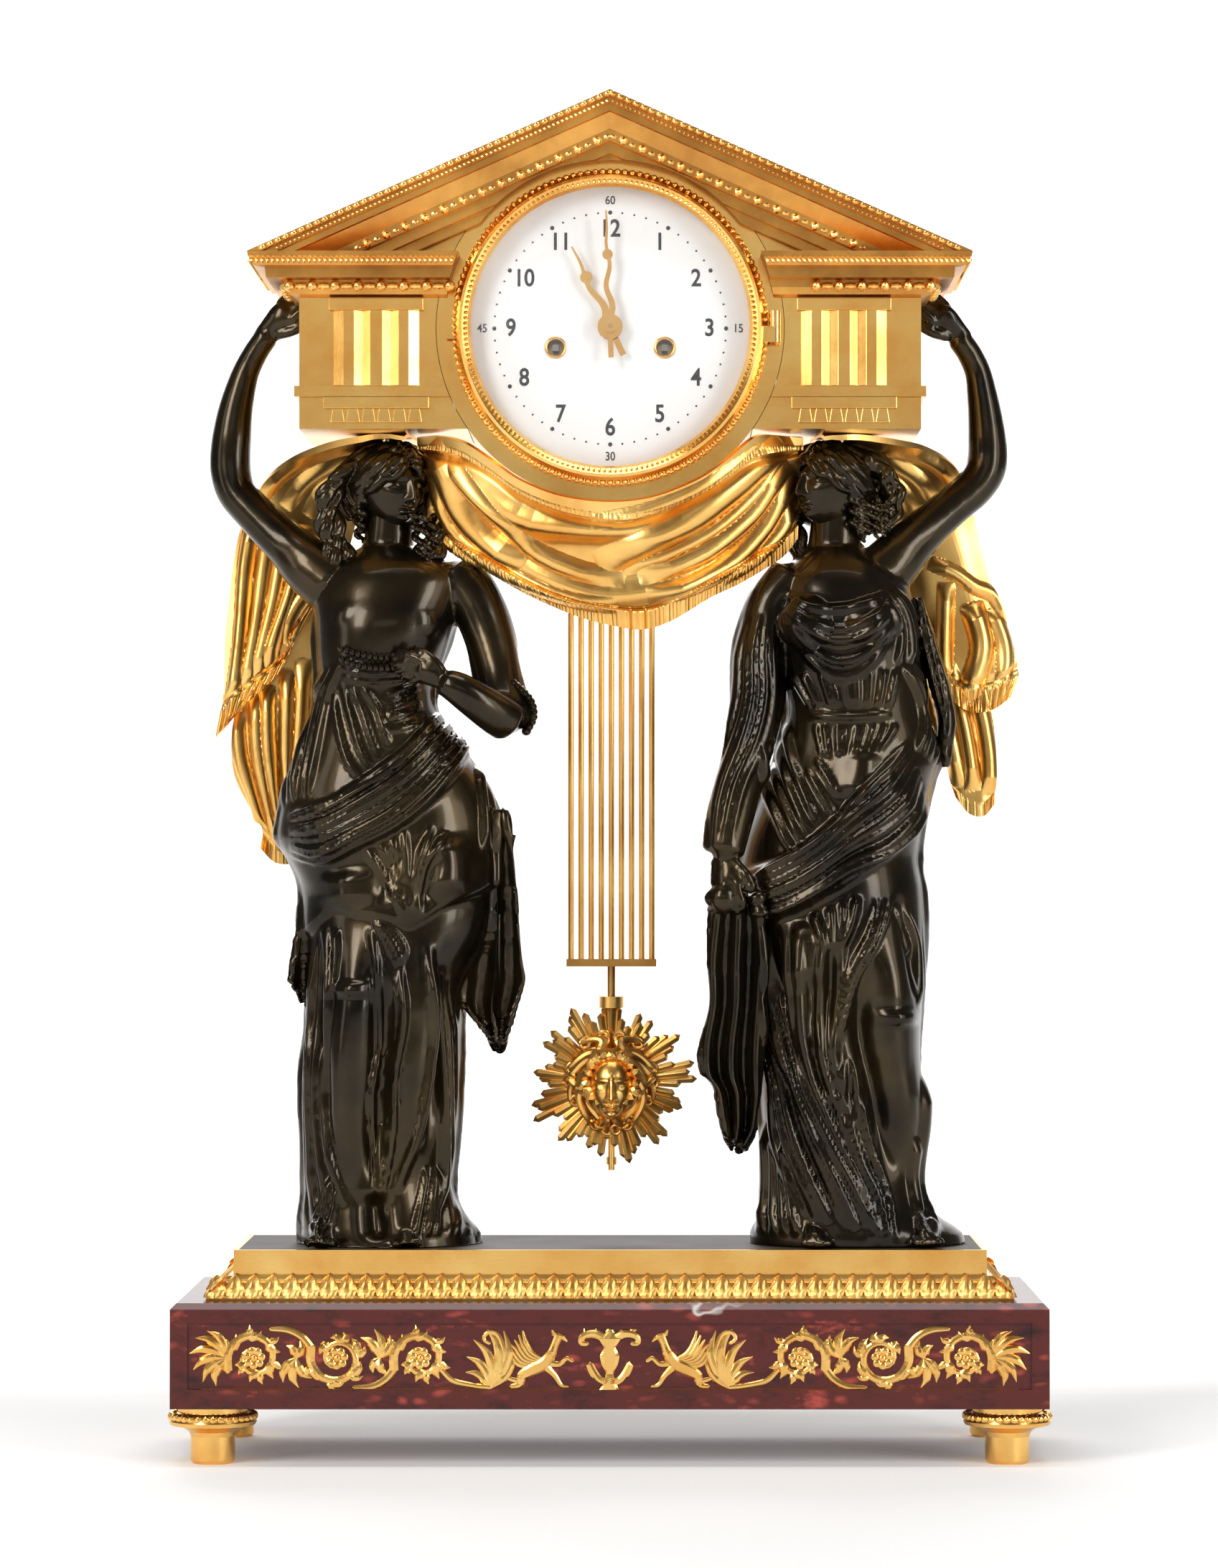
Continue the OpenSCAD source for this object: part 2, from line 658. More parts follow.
module guttae(side) {
    color("goldenrod") translate([side * figure_x, front_y, case_z + band_rise]) {
        translate([-glyph_w / 2 - 5, -band_out - 1, -regula_h])
            cube([glyph_w + 10, band_out + 1, regula_h - 0.2]);
        for (i = [-2.5:2.5]) translate([i * glyph_w / 5.6, 0, -regula_h]) rotate([90, 0, 0])
            linear_extrude(band_out) polygon([[-1.5, 0], [1.5, 0], [3, -gutta_h], [-3, -gutta_h]]);
    }
}

cornice_clear_r = bezel_r + 4.5;
// The cornice's outline: how far in from its edge, and how high
cornice_outline = [[cornice_out - 2, 0], [cornice_out - 5, 1], [cornice_out - 7, 4.5], [cornice_out - 7.5, 8],
    [9, 8.5], [8.5, 13.5], [3, 14], [2, 16], [1, 18], [0.4, 18.5], [0, cornice_h]];

module cornice(side) {
    color("goldenrod") difference() {
        translate([0, 0, cornice_z]) mitred(cornice_w, case_d + 2 * cornice_out, cornice_outline);
        translate([side > 0 ? -cornice_w : 0, -case_d, cornice_z - 1])
            cube([cornice_w, 2 * case_d, cornice_h + 2]);
        translate([-cornice_w, back_y, cornice_z - 1]) cube([2 * cornice_w, case_d, cornice_h + 2]);
        intersection() {
            drum_space(drum_gap_r);
            translate([-cornice_w, front_y - gap, 0]) cube([2 * cornice_w, 2 * case_d, 2 * apex_z]);
        }
        drum_space(cornice_clear_r);
    }
}

// The sloping moulding's outline: how far back from its edge, and how far below the roof's slope
rake_outline = [[0, 0], [0, -3], [2, -3.4], [2, -6], [3, -6.5], [3, -9.5], [5, -10], [10, -17], [11, -22.5],
    [14.5, -23], [14.5, -28], [18, -28.4], [18, -rake_t], [cornice_out + 3, -rake_t], [cornice_out + 3, 0]];
apex_z = eave_z + cornice_w / 2 * tan(roof_angle);

// A space under the roof's slopes, the given depth below them
module under_slopes(depth) {
    top = apex_z - depth / cos(roof_angle);
    half = (top - eave_z) / tan(roof_angle);
    rotate([90, 0, 0]) linear_extrude(400, center = true)
        polygon([[0, top], [half, eave_z], [-half, eave_z]]);
}

module rake(side) {
    color("goldenrod") scale([side, 1, 1]) difference() {
        intersection() {
            translate([0, front_y - cornice_out, apex_z]) rotate([0, roof_angle, 0]) translate([-60, 0, 0])
                rotate([90, 0, 90]) linear_extrude(cornice_w) polygon(rake_outline);
            translate([0, -200, eave_z + 0.1]) cube([300, 400, 200]);
        }
        intersection() {
            drum_space(drum_gap_r);
            translate([-cornice_w, front_y - gap, 0]) cube([2 * cornice_w, case_d, 2 * apex_z]);
        }
        drum_space(cornice_clear_r);
    }
}

tympanum_t = 3;
roof_front = front_y + tympanum_t + 0.2;

module tympanum() {
    color("goldenrod") difference() {
        intersection() {
            under_slopes(rake_t + 0.2);
            translate([-cornice_w, front_y, eave_z + 0.1]) cube([2 * cornice_w, tympanum_t, 200]);
        }
        drum_space(drum_gap_r);
    }
}

module roof() {
    color("goldenrod") difference() {
        intersection() {
            under_slopes(0);
            translate([-cornice_w, roof_front, eave_z + 0.1]) cube([2 * cornice_w, back_y - roof_front, 200]);
        }
        drum_space(drum_gap_r);
        difference() {
            intersection() {
                under_slopes(roof_t);
                translate([-cornice_w, roof_front + case_wall, eave_z + case_wall])
                    cube([2 * cornice_w, back_y - roof_front - 2 * case_wall, 200]);
            }
            drum_space(drum_gap_r + case_wall);
            translate([-6, -100, eave_z]) cube([12, 200, 200]);
        }
    }
}

// Drum, dial, bezel and rear door. Each is turned about the clock's axis, which runs front to back

module turned(outline) {
    translate([0, 0, dial_z]) rotate([-90, 0, 0]) rotate_extrude($fn = 96) polygon(outline);
}

drum_in = drum_r - drum_wall;
slot_w = 44;
slot_front = 14;
slot_back = 46;

module drum() {
    color("goldenrod") difference() {
        turned([[drum_r, front_y], [drum_r, drum_back], [drum_in, drum_back], [drum_in, front_y + flange_t],
            [bezel_r - 3, front_y + flange_t], [bezel_r - 3, front_y]]);
        translate([-slot_w / 2, slot_front, dial_z - drum_r - 5]) cube([slot_w, slot_back - slot_front, 30]);
    }
}

dial_y = front_y + 2;

module dial_plate() {
    color("goldenrod") difference() {
        union() {
            turned([[0, dial_y + 2], [drum_in - gap, dial_y + 2], [drum_in - gap, dial_y + 4],
                [0, dial_y + 4]]);
            for (a = [45, 135, 225, 315]) translate([0, dial_y + 3, dial_z]) rotate([-90, a, 0])
                translate([foot_at, 0, 0]) cylinder(r = 2.5, h = plate_front - dial_y - 3 - 0.05, $fn = fine);
            for (a = [0, 180]) translate([0, dial_y + 3, dial_z]) rotate([-90, a, 0])
                translate([strap_at, -5, 0]) cube([2, 10, drum_back - dial_y - 8]);
        }
        for (p = [[0, 0], barrel_at, strike_at]) at_axis(p, dial_y) cylinder(r = 6, h = 8, $fn = fine);
    }
}

foot_at = plate_r - 7;
strap_at = drum_in - 11;
plate_front = front_y + 14;
plate_back = plate_front + plate_t + plate_gap;

// Place something on the axis that runs back through a point of the dial, from the given depth
module at_axis(p, y) {
    translate([p[0], y, dial_z + p[1]]) rotate([-90, 0, 0]) children();
}

module enamel_dial() {
    color("ivory") difference() {
        turned([[0, dial_y - 3.6], [20, dial_y - 3.4], [45, dial_y - 2.4], [66, dial_y - 0.6],
            [dial_r, dial_y + 0.6], [dial_r, dial_y + 1.8], [0, dial_y + 1.8]]);
        at_axis([0, 0], dial_y - 10) cylinder(r = 4.5, h = 20, $fn = fine);
        for (p = [barrel_at, strike_at]) at_axis(p, dial_y - 10)
            cylinder(r = wind_hole_r, h = 20, $fn = fine);
    }
}

glass_rise = 13;
hinge_pin_r = 1.2;
knuckle_r = 3;
knuckle_h = 16;
ring_in = bezel_r - bezel_ring;
bezel_y = front_y - 0.4;
ring_front = bezel_y - 12.5;

hinge_at = bezel_r + knuckle_r + 0.6;
hinge_back = bezel_y - 6;
half_knuckle = knuckle_h / 2 - 0.1;

// The lower knuckle of a hinge, bored for its pin, with a web that reaches the given way
module lower_knuckle(web_from, web_len) {
    difference() {
        union() {
            translate([0, 0, -knuckle_h / 2]) cylinder(r = knuckle_r, h = half_knuckle, $fn = fine);
            translate([web_from[0], web_from[1], -knuckle_h / 2]) cube([web_len, 2.4, half_knuckle]);
        }
        translate([0, 0, -knuckle_h]) cylinder(r = hinge_pin_r + run_gap, h = 2 * knuckle_h, $fn = fine);
    }
}

module bezel() {
    color("gold") {
        difference() {
            turned([[bezel_r - 1.5, bezel_y], [bezel_r, bezel_y - 1.5], [bezel_r, bezel_y - 3.5],
                [bezel_r - 2, bezel_y - 5], [bezel_r - 2, bezel_y - 8], [bezel_r - 3.5, bezel_y - 11.5],
                [bezel_r - 5, ring_front], [ring_in, ring_front + 2], [ring_in - 1.5, ring_front + 4],
                [ring_in - 1.5, ring_front + 5], [ring_in + 1, ring_front + 5], [ring_in + 1, bezel_y]]);
            translate([hinge_at, hinge_back, dial_z - knuckle_h / 2 - gap])
                cylinder(r = knuckle_r + gap, h = knuckle_h + 2 * gap, $fn = fine);
        }
        translate([-bezel_r - 3, bezel_y - 6, dial_z - 6]) cube([5, 4, 12]);
        translate([hinge_at, hinge_back, dial_z])
            lower_knuckle([bezel_r - 5.5 - hinge_at, -knuckle_r], hinge_at - bezel_r + 5.5);
    }
}

module bezel_hinge() {
    color("goldenrod") translate([hinge_at, hinge_back, dial_z]) {
        translate([0, 0, 0.1]) cylinder(r = knuckle_r, h = knuckle_h / 2, $fn = fine);
        translate([0, 0, -knuckle_h / 2]) cylinder(r = hinge_pin_r, h = knuckle_h, $fn = fine);
        translate([0, 0, 0.1]) cube([knuckle_r, front_y - hinge_back - 0.1, knuckle_h / 2]);
    }
}

glass_front = ring_front - glass_rise;

module bezel_glass() {
    color("lightblue", 0.3) turned([[0, glass_front + 4], [28, glass_front + 5.4], [52, glass_front + 9.4],
        [ring_in - 1.8, ring_front + 3], [ring_in - 1.8, ring_front + 5], [ring_in - 4, ring_front + 5],
        [51, glass_front + 11.6], [27.6, glass_front + 7.5], [0, glass_front + 6]]);
}

door_hinge_at = drum_r + knuckle_r;

module rear_door() {
    color("goldenrod") {
        difference() {
            turned([[0, drum_back + 9], [10, drum_back + 9], [drum_r - 30, drum_back + 7],
                [drum_r - 14, drum_back + 4], [drum_r - 2, drum_back + 3.4], [drum_r - 1, drum_back + 0.4],
                [drum_r - 4, drum_back + 0.4], [drum_r - 16, drum_back + 1.6], [drum_r - 31, drum_back + 4.6],
                [10, drum_back + 6.6], [0, drum_back + 6.6]]);
            for (a = [15:30:345], r = [26, 46])
                translate([0, drum_back, dial_z]) rotate([-90, a, 0]) translate([r, 0, 0])
                    cylinder(r = r / 11, h = 40, center = true, $fn = 12);
        }
        translate([-door_hinge_at, drum_back + knuckle_r, dial_z]) lower_knuckle([0, -1], 8);
    }
}

module rear_hinge() {
    color("goldenrod") translate([-door_hinge_at, drum_back + knuckle_r, dial_z]) {
        translate([0, 0, 0.1]) cylinder(r = knuckle_r, h = knuckle_h / 2, $fn = fine);
        translate([0, 0, -knuckle_h / 2]) cylinder(r = hinge_pin_r, h = knuckle_h, $fn = fine);
        translate([0, -knuckle_r - 4, 0.1]) cube([knuckle_r - 0.1, 4 + knuckle_r, knuckle_h / 2]);
    }
}

// Hands

hand_y = dial_y - 7;
hand_t = 1.2;
pipe_r = 2;
hour_pipe_r = 3.2;

module wavy_hand(len, w, lobes) {
    n = 24;
    ribbon([for (i = [0:n]) [w * 0.55 * sin(lobes * 180 * i / n) * (1 - i / n), 5 + (len - 5) * i / n]],
        w, 0.8);
    translate([0, len * 0.62]) circle(r = w * 0.8, $fn = 20);
    circle(r = 6.5, $fn = 32);
    translate([0, -10]) square([w * 0.8, 12], center = true);
}

module minute_hand() {
    color("gold") difference() {
        union() {
            at_axis([0, 0], hand_y - 4) rotate(180 + minute_at) mirror([1, 0])
                linear_extrude(hand_t) wavy_hand(minute_len, 3.4, 5);
            at_axis([0, 0], hand_y - 5.4) cylinder(r = 3.4, h = 3, $fn = fine);
        }
        at_axis([0, 0], hand_y - 20) cylinder(r = arbor_r + 0.02, h = 40, $fn = fine);
    }
}

module hour_hand() {
    color("gold") {
        difference() {
            at_axis([0, 0], hand_y - 1) rotate(180 + hour_at) mirror([1, 0])
                linear_extrude(hand_t) wavy_hand(hour_len, 4, 3);
            at_axis([0, 0], hand_y - 20) cylinder(r = hour_pipe_r - 0.4, h = 40, $fn = fine);
        }
        hour_wheel();
    }
}

// Movement. Wheels are cut to module, all sizes in the plane of the plates from the middle of the dial

barrel_at = [28.2, -10.1];
great_m = 0.5;
great_n = 84;
pinion_n = 12;
centre_m = 0.4;
centre_n = 80;
third_m = 0.35;
third_n = 75;
third_pinion_n = 10;
escape_pinion_n = 8;
escape_at = [0, 28];
anchor_at = [0, 42];
escape_r = 9;
motion_m = 0.5;
cannon_n = 14;
minute_n = 42;
minute_pinion_n = 10;
hour_n = 40;
motion_at = [0, -(cannon_n + minute_n) * motion_m / 2];
hour_m = -2 * motion_at[1] / (minute_pinion_n + hour_n);

// The point at the given distances from two others, on the left of the line from the first to the second
function meet(a, ra, b, rb) =
    let (d = norm(b - a), x = (d * d + ra * ra - rb * rb) / (2 * d), u = (b - a) / d)
    a + u * x + sqrt(ra * ra - x * x) * [-u[1], u[0]];

mesh_great = (great_n + pinion_n) * great_m / 2;
mesh_third = (centre_n + third_pinion_n) * centre_m / 2;
mesh_escape = (third_n + escape_pinion_n) * third_m / 2 + run_gap;
second_point = meet(barrel_at, mesh_great, [0, 0], mesh_great);
third_at = meet([0, 0], mesh_third, escape_at, mesh_escape);

function bearing(a, b) = atan2((b - a)[1], (b - a)[0]);

module gear(teeth, m, t, phase) {
    pitch = 360 / teeth;
    root = teeth * m / 2 - 0.95 * m;
    tip = teeth * m / 2 + 0.7 * m;
    corners = [[root, -0.25], [tip, -0.1], [tip, 0.1], [root, 0.25]];
    rotate(-phase) linear_extrude(t) polygon([for (i = [0:teeth - 1], p = corners)
        p[0] * [cos((i + p[1]) * pitch), sin((i + p[1]) * pitch)]]);
}

module crossed_wheel(teeth, m, phase) {
    r = teeth * m / 2;
    difference() {
        gear(teeth, m, wheel_t, phase);
        for (a = [45:90:315]) rotate(a) translate([r * 0.52, 0, -1])
            cylinder(r = r * 0.24, h = wheel_t + 2, $fn = 24);
    }
}

module arbor(from, to) {
    translate([0, 0, from]) cylinder(r = arbor_r, h = to - from, $fn = 24);
}

inner = plate_front + plate_t;
outer = plate_back + plate_t;
pillar_at = [[35.4, 35.4], [-35.4, 35.4], [25, -43.3], [-25, -43.3]];
pillar_r = 3.4;
pillar_end_r = 1.4;

strike_at = [-barrel_at[0], barrel_at[1]];
strike_lean = 100;
pin_lean = 50;
fly_lean = 100;
strike_second_at = strike_at + mesh_great * [cos(strike_lean), sin(strike_lean)];
pin_pinion_n = 8;
pin_n = 60;
fly_pinion_n = 8;
pin_at = strike_second_at + (centre_n + pin_pinion_n) * centre_m / 2 * [cos(pin_lean), sin(pin_lean)];
fly_at = pin_at + (pin_n + fly_pinion_n) * centre_m / 2 * [cos(fly_lean), sin(fly_lean)];
hammer_at = [-44.5, -29];

// Holes that both plates share, one for every arbor
arbor_points = [[0, 0], barrel_at, strike_at, second_point, third_at, escape_at, anchor_at, strike_second_at,
    pin_at, fly_at, hammer_at];

module plate(y) {
    difference() {
        at_axis([0, 0], y) cylinder(r = plate_r, h = plate_t, $fn = 96);
        for (p = arbor_points) at_axis(p, y - 1) cylinder(r = arbor_r + run_gap, h = plate_t + 2, $fn = fine);
    }
}

module front_plate() {
    color("goldenrod") {
        plate(plate_front);
        for (p = pillar_at) at_axis(p, inner - 0.5) rotate_extrude($fn = 32)
            polygon([[0, 0], [pillar_r, 0], [pillar_r, 3], [2.2, 5], [2.8, 18], [2.8, 20], [2.2, 33],
                [pillar_r, 35], [pillar_r, plate_gap + 0.45], [pillar_end_r, plate_gap + 0.45],
                [pillar_end_r, plate_gap + plate_t + 3.5], [0, plate_gap + plate_t + 3.5]]);
        at_axis(motion_at, plate_front - 7.6) cylinder(r = arbor_r, h = 8.1, $fn = 24);
    }
}

module back_plate() {
    color("goldenrod") difference() {
        plate(plate_back);
        for (p = pillar_at) at_axis(p, plate_back - 1)
            cylinder(r = pillar_end_r + run_gap, h = plate_t + 2, $fn = fine);
    }
}

drum_from = inner + 2;
drum_len = 22;
great_from = drum_from + drum_len;
second_layer = great_from + 3.4;
centre_layer = second_layer + 3.4;
third_layer = inner + 12;
escape_layer = third_layer + 8;

module barrel(p, phase) {
    at_axis(p, 0) difference() {
        union() {
            translate([0, 0, drum_from]) cylinder(r = barrel_r, h = drum_len + 0.2, $fn = 96);
            translate([0, 0, great_from]) gear(great_n, great_m, wheel_t, phase);
        }
        translate([0, 0, drum_from - 1]) cylinder(r = 2.6, h = 40, $fn = fine);
        translate([0, 0, drum_from + 1.5]) cylinder(r = barrel_r - 1.5, h = drum_len - 3, $fn = fine);
    }
}

module winding_arbor(p) {
    at_axis(p, 0) {
        translate([0, 0, drum_from + 0.3]) cylinder(r = 2.5, h = drum_len + wheel_t - 0.6, $fn = fine);
        arbor(plate_front - 4, outer + 1);
        translate([-1.6, -1.6, dial_y - 2]) cube([3.2, 3.2, plate_front - dial_y]);
    }
}

drive = bearing(barrel_at, second_point);

module going_barrel() {
    color("goldenrod") barrel(barrel_at, drive);
}

module going_arbor() {
    color("silver") winding_arbor(barrel_at);
}

module second_wheel(p, wheel_phase, pinion_phase) {
    at_axis(p, 0) {
        translate([0, 0, second_layer]) crossed_wheel(great_n, great_m, wheel_phase);
        translate([0, 0, great_from - 1])
            gear(pinion_n, great_m, second_layer - great_from + 1.1, pinion_phase);
        arbor(plate_front, outer);
    }
}

module going_second_wheel() {
    color("goldenrod") second_wheel(second_point, centre_drive, drive + 180 + 180 / pinion_n);
}

centre_drive = bearing(second_point, [0, 0]);
third_drive = bearing([0, 0], third_at);
escape_drive = bearing(third_at, escape_at);
cannon_y = plate_front - 3;

module centre_wheel() {
    color("goldenrod") at_axis([0, 0], 0) {
        translate([0, 0, centre_layer]) crossed_wheel(centre_n, centre_m, third_drive);
        translate([0, 0, second_layer - 0.6]) gear(pinion_n, great_m, centre_layer - second_layer + 0.7,
            centre_drive + 180 + 180 / pinion_n);
        arbor(hand_y - 5.4, outer);
        translate([0, 0, cannon_y]) gear(cannon_n, motion_m, 2.4, -90);
        translate([0, 0, hand_y - 2.4]) cylinder(r = pipe_r, h = cannon_y - hand_y + 2.5, $fn = fine);
    }
}

module minute_wheel() {
    color("goldenrod") at_axis(motion_at, 0) difference() {
        union() {
            translate([0, 0, cannon_y + 0.2]) gear(minute_n, motion_m, 1.6, 90 + 180 / minute_n);
            translate([0, 0, cannon_y - 4]) gear(minute_pinion_n, hour_m, 4.3, 90);
        }
        translate([0, 0, cannon_y - 10]) cylinder(r = arbor_r + run_gap, h = 20, $fn = fine);
    }
}

module hour_wheel() {
    at_axis([0, 0], 0) difference() {
        union() {
            translate([0, 0, cannon_y - 3.4]) gear(hour_n, hour_m, 1.6, 90 + 180 + 180 / hour_n);
            translate([0, 0, hand_y - 1.2])
                cylinder(r = hour_pipe_r, h = cannon_y - 3.3 - hand_y + 1.2, $fn = fine);
        }
        translate([0, 0, hand_y - 10]) cylinder(r = pipe_r + run_gap, h = 30, $fn = fine);
    }
}

module third_wheel() {
    color("goldenrod") at_axis(third_at, 0) {
        translate([0, 0, third_layer]) crossed_wheel(third_n, third_m, escape_drive);
        translate([0, 0, centre_layer - 0.6])
            gear(third_pinion_n, centre_m, wheel_t + 1.2, third_drive + 180 + 180 / third_pinion_n);
        arbor(plate_front, outer);
    }
}

escape_teeth = 30;

module escape_wheel() {
    tooth = [[escape_r - 1.8, 0], [escape_r, 0.1], [escape_r - 1.8, 0.5]];
    color("goldenrod") at_axis(escape_at, 0) {
        translate([0, 0, escape_layer]) linear_extrude(wheel_t)
            polygon([for (i = [0:escape_teeth - 1], p = tooth) let (a = (i + p[1]) * 360 / escape_teeth)
                p[0] * [cos(a), sin(a)]]);
        translate([0, 0, third_layer - 0.6])
            gear(escape_pinion_n, third_m, wheel_t + 1.2, escape_drive + 180 + 180 / escape_pinion_n);
        arbor(plate_front, outer);
    }
}

pallet_gap = 0.9;
crutch_y = outer + 3.5;
crutch_len = 36;
pendulum_y = 28;

module anchor_and_crutch() {
    color("silver") at_axis(anchor_at, 0) {
        translate([0, 0, escape_layer]) linear_extrude(wheel_t) {
            circle(r = 2.6, $fn = 32);
            translate([-1.5, 0]) square([3, 3.4]);
            translate([0, anchor_at[1] - escape_at[1]]) intersection() {
                difference() {
                    circle(r = escape_r + pallet_gap + 2, $fn = 64);
                    circle(r = escape_r + pallet_gap, $fn = 64);
                }
                polygon([[0, 0], [-20, -20], [20, -20]]);
            }
        }
        arbor(plate_front, crutch_y + 1.5);
        translate([0, 0, crutch_y]) linear_extrude(1.6) {
            circle(r = 3, $fn = 32);
            translate([-1.2, 0]) square([2.4, crutch_len]);
            translate([-4, crutch_len - 1]) square([8, 6]);
        }
        for (s = [-1, 1]) translate([s * (rod_r + 1.5) - 0.9, crutch_len, crutch_y + 1.4])
            cube([1.8, 4, pendulum_y + 3 - crutch_y]);
    }
}

module strike_barrel() {
    color("goldenrod") barrel(strike_at, bearing(strike_at, strike_second_at));
}

module strike_arbor() {
    color("silver") winding_arbor(strike_at);
}

module strike_second_wheel() {
    color("goldenrod") at_axis(strike_second_at, 0) {
        translate([0, 0, second_layer]) crossed_wheel(centre_n, centre_m, pin_lean);
        translate([0, 0, great_from - 1])
            gear(pinion_n, great_m, second_layer - great_from + 1.1, strike_lean + 180 + 180 / pinion_n);
        arbor(plate_front, outer);
    }
}

pin_layer = inner + 6;

module pin_wheel() {
    color("goldenrod") at_axis(pin_at, 0) {
        translate([0, 0, pin_layer]) crossed_wheel(pin_n, centre_m, fly_lean);
        translate([0, 0, second_layer - 0.6])
            gear(pin_pinion_n, centre_m, wheel_t + 1.2, pin_lean + 180 + 180 / pin_pinion_n);
        arbor(plate_front, outer);
    }
}

fly_w = 14;

module fly() {
    color("goldenrod") at_axis(fly_at, 0) {
        translate([0, 0, pin_layer - 0.6])
            gear(fly_pinion_n, centre_m, wheel_t + 1.2, fly_lean + 180 + 180 / fly_pinion_n);
        translate([-fly_w / 2, -0.4, pin_layer + 4]) cube([fly_w, 0.8, 14]);
        arbor(plate_front, outer);
    }
}

bell_at = [-34, 20];
bell_r = 24;
bell_y = 34;
hammer_y = bell_y + 4;

module hammer() {
    color("silver") at_axis(hammer_at, 0) {
        arbor(plate_front, hammer_y);
        translate([0, 0, hammer_y - 1.6]) linear_extrude(1.6) {
            circle(r = 3, $fn = 32);
            translate([-1.2, -22]) square([2.4, 22]);
        }
        translate([0, -22, hammer_y - 4]) cylinder(r = 4, h = 8, $fn = fine);
    }
}

module bell() {
    color("goldenrod") at_axis(bell_at, bell_y) {
        rotate_extrude($fn = 64) polygon([[0, 14], [10, 13.6], [17, 11], [21, 5], [bell_r, 0],
            [bell_r - 1.6, 0], [19.5, 4.6], [16, 9.6], [9.6, 12], [0, 12.4]]);
        translate([0, 0, outer - bell_y]) cylinder(r = 2, h = 12.8 + bell_y - outer, $fn = fine);
        translate([0, 0, 13.8]) cylinder(r = 3.4, h = 3, $fn = 6);
    }
}

// Suspension and pendulum

pivot_z = dial_z + anchor_at[1];
spring_w = 5;
spring_len = 9;
grid_top = case_z - 52;
grid_foot = grid_top - grid_len;
bar_h = 4;
mask_z = grid_foot - mask_drop + 5;
mask_back = 2;
stem_r = 1.8;

module suspension_cock() {
    color("goldenrod") {
        translate([-6, outer, pivot_z + 2]) cube([12, 3, 12]);
        translate([-4, outer, pivot_z + 4]) cube([8, pendulum_y + spring_w / 2 + 1 - outer, 5]);
        translate([-3, pendulum_y - spring_w / 2 - 1, pivot_z + gap]) cube([6, spring_w + 2, 6]);
    }
}

module gridiron() {
    color("gold") translate([0, pendulum_y, 0]) {
        translate([-0.4, -spring_w / 2, pivot_z - spring_len]) cube([0.8, spring_w, spring_len]);
        translate([-2.4, -spring_w / 2 - 0.4, pivot_z - spring_len - 5]) cube([4.8, spring_w + 0.8, 5.4]);
        translate([0, 0, grid_top - 1])
            cylinder(r = rod_r, h = pivot_z - spring_len - 4 - grid_top, $fn = 24);
        for (i = [0:rod_count - 1]) translate([(i - (rod_count - 1) / 2) * rod_pitch, 0, grid_foot + 1])
            cylinder(r = rod_r, h = grid_len - 2, $fn = 24);
        for (z = [grid_top - bar_h, grid_foot])
            translate([-(rod_count - 1) / 2 * rod_pitch - 2.4, -2.4, z])
                cube([(rod_count - 1) * rod_pitch + 4.8, 4.8, bar_h]);
        translate([0, 0, grid_foot - 17]) cylinder(r = 2.1, h = 18, $fn = fine);
        translate([0, 0, grid_foot - 22]) cylinder(r = 6.5, h = 6, $fn = fine);
        translate([0, mask_back + gap + stem_r, mask_z - ray_r])
            cylinder(r = stem_r, h = grid_foot - 19 - mask_z + ray_r, $fn = fine);
        translate([0, mask_back + gap + stem_r + 1.3, mask_z - ray_r + 3])
            cylinder(r = stem_r + 1, h = 4, $fn = fine);
    }
}

ray_count = 24;
face_r = 17;

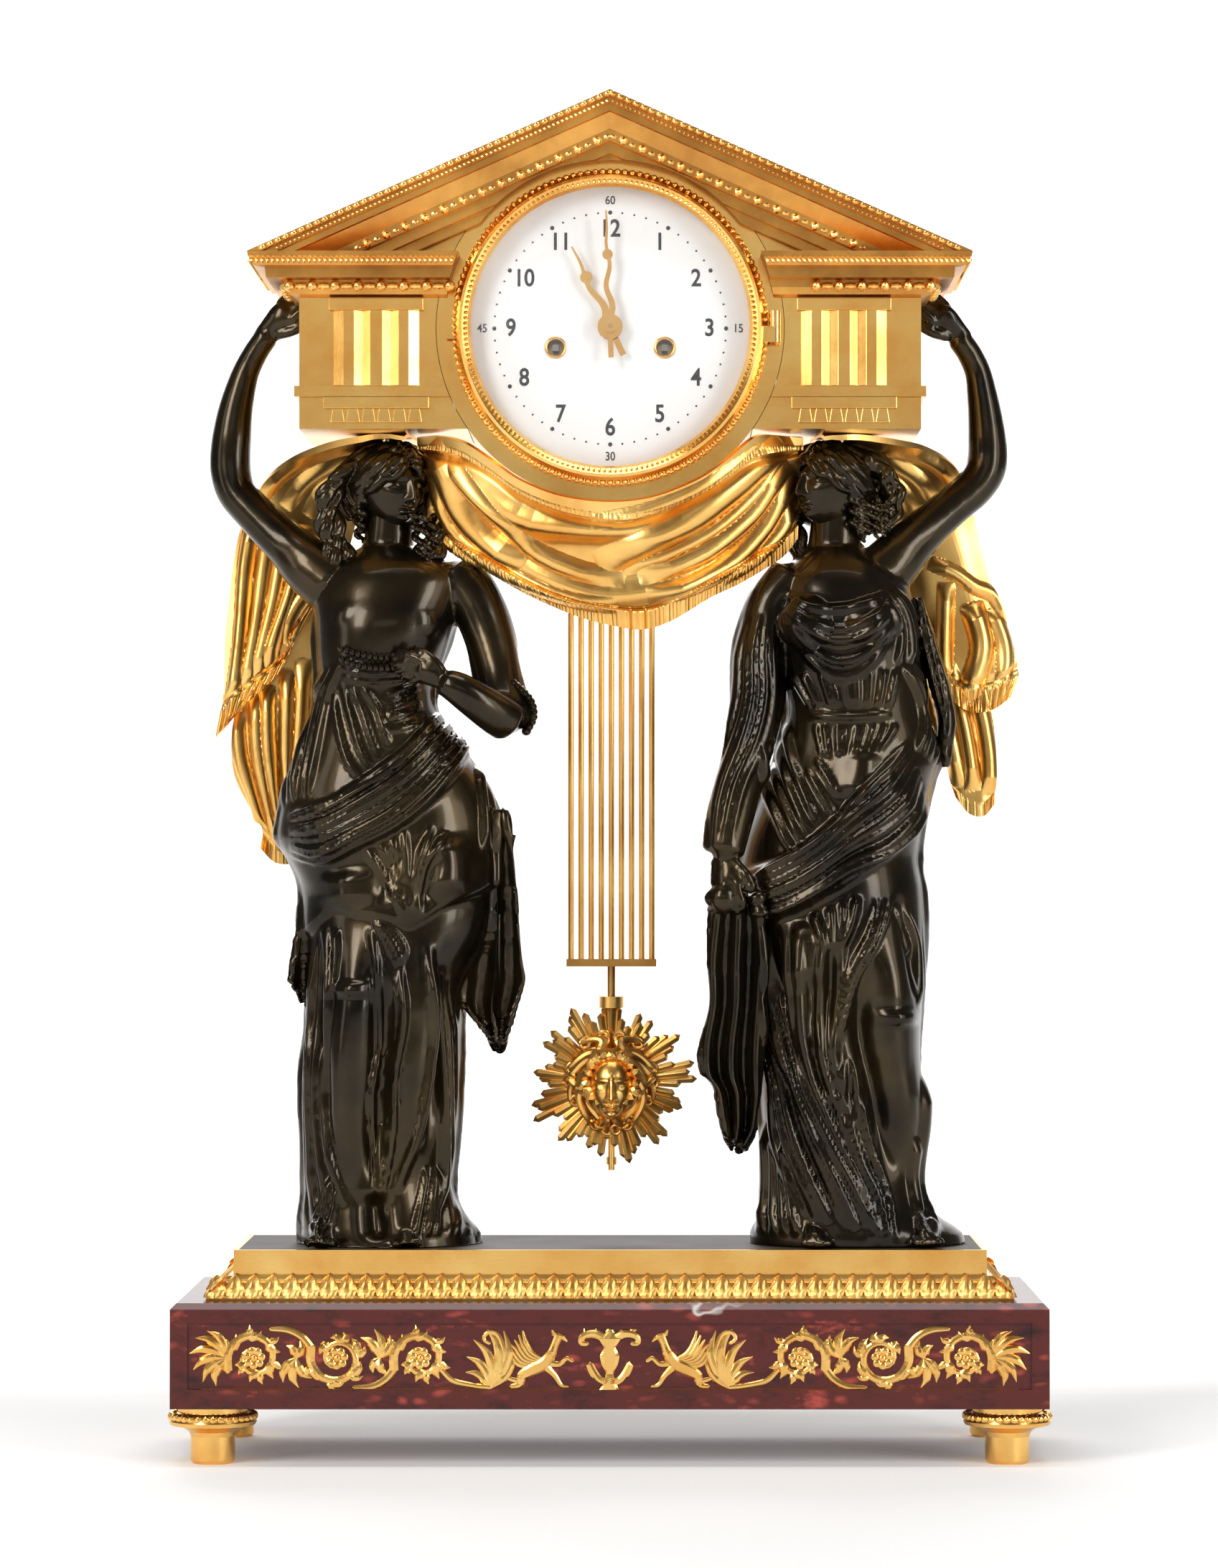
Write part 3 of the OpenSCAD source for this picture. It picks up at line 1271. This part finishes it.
module mask_bob() {
    color("gold") translate([0, pendulum_y, mask_z]) difference() {
        union() {
            translate([0, 1.4, 0]) rotate([90, 0, 0]) linear_extrude(4) sunburst();
            translate([0, 1, 0]) rotate([90, 0, 0]) cylinder(r = face_r + 7, h = 4.2, $fn = 32);
            for (i = [0:ray_count / 2 - 1]) rotate([0, -90 - i * 720 / ray_count, 0]) hull() {
                translate([face_r - 1, -4.1, 0]) sphere(r = 3.4, $fn = 6);
                translate([ray_r - 13, -2.1, 0]) sphere(r = 1.3, $fn = 6);
            }
            hull() {
                translate([0, -3, 4]) sphere(r = face_r - 2, $fn = 14);
                translate([0, -4, -12]) sphere(r = 8, $fn = 12);
            }
            hull() {
                translate([0, -18, 3]) sphere(r = 1.6, $fn = 10);
                translate([0, -20, -4]) sphere(r = 2.4, $fn = 10);
            }
            for (s = [-1, 1]) hull() {
                translate([s * 3, -16.5, 6]) sphere(r = 1.6, $fn = 10);
                translate([s * 10, -14, 7]) sphere(r = 1.6, $fn = 10);
            }
            hull() for (s = [-1, 1]) translate([s * 3.5, -14, -9.5]) sphere(r = 1.8, $fn = 10);
            hull() {
                translate([0, -10, -15]) sphere(r = 4.4, $fn = 12);
                translate([0, -9, -13]) sphere(r = 4.4, $fn = 12);
            }
        }
        translate([-60, mask_back, -60]) cube([120, 40, 120]);
    }
}

// Rays of changing length round the mask
module sunburst() {
    polygon([for (i = [0:2 * ray_count - 1])
        let (r = i % 2 == 0 ? ray_r - 5 - 5 * cos(i * 67) : face_r + 11, a = 90 + i * 180 / ray_count)
        r * [cos(a), 0.93 * sin(a)]]);
}

foot(-1, -1);  // foot_front_left
foot(1, -1);  // foot_front_right
foot(-1, 1);  // foot_rear_left
foot(1, 1);  // foot_rear_right
marble_base();
frieze_mount();
plinth();
terrace_plate();
fixing_bolts();
figure_left();
figure_right();
raised_arm_left();
raised_arm_right();
bent_arm();
hanging_arm();
swag();
drape_tail(-1, 0.92);  // drape_tail_left
drape_tail(1, 0.82);  // drape_tail_right
case_wing(-1);  // case_wing_left
case_wing(1);  // case_wing_right
triglyph(-1);  // triglyph_left
triglyph(1);  // triglyph_right
guttae(-1);  // guttae_left
guttae(1);  // guttae_right
cornice(-1);  // cornice_left
cornice(1);  // cornice_right
rake(-1);  // rake_left
rake(1);  // rake_right
tympanum();
roof();
drum();
dial_plate();
enamel_dial();
bezel();
bezel_glass();
bezel_hinge();
rear_door();
rear_hinge();
minute_hand();
hour_hand();
minute_wheel();
front_plate();
back_plate();
centre_wheel();
going_barrel();
going_arbor();
strike_barrel();
strike_arbor();
going_second_wheel();
third_wheel();
escape_wheel();
anchor_and_crutch();
strike_second_wheel();
pin_wheel();
fly();
hammer();
bell();
suspension_cock();
gridiron();
mask_bob();
